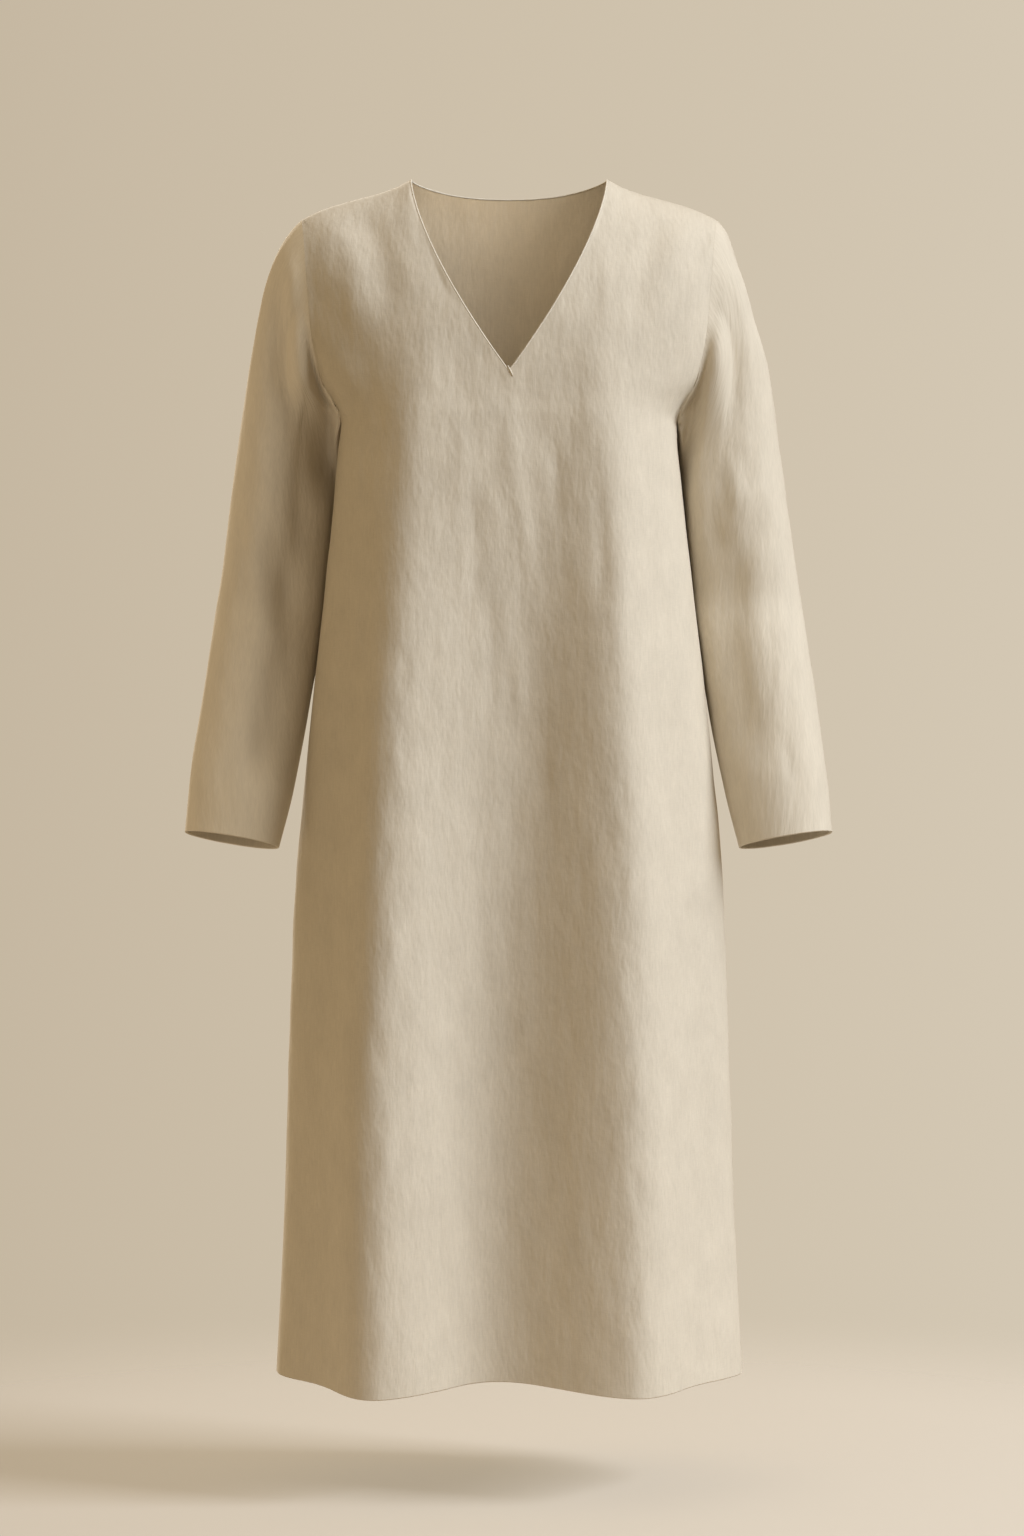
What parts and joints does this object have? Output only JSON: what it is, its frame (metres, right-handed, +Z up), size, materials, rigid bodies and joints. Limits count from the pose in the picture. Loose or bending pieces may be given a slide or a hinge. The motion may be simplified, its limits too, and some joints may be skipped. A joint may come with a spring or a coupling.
{
  "type": "linen dress",
  "caption": "Long-sleeved V-neck midi dress in plain linen, hollow as worn, open at the neck, cuffs and hem.",
  "frame": {"origin": "midway between the two high shoulder points, where the shoulder seams meet the neck and the wearer's shoulders hold the dress up", "axes": "+Z up, +X towards the wearer's left side, -Y towards the front"},
  "size_m": [0.6448, 0.3, 1.1952],
  "materials": {
    "linen": "matt undyed linen, fine plain weave with slubs, softly crinkled",
    "linen_binding": "matt undyed linen, cut on the bias and rolled"
  },
  "bodies": {
    "root": {"front_panel": "linen", "back_panel": "linen", "left_sleeve": "linen", "right_sleeve": "linen", "neck_binding": "linen_binding"}
  },
  "joints": []
}
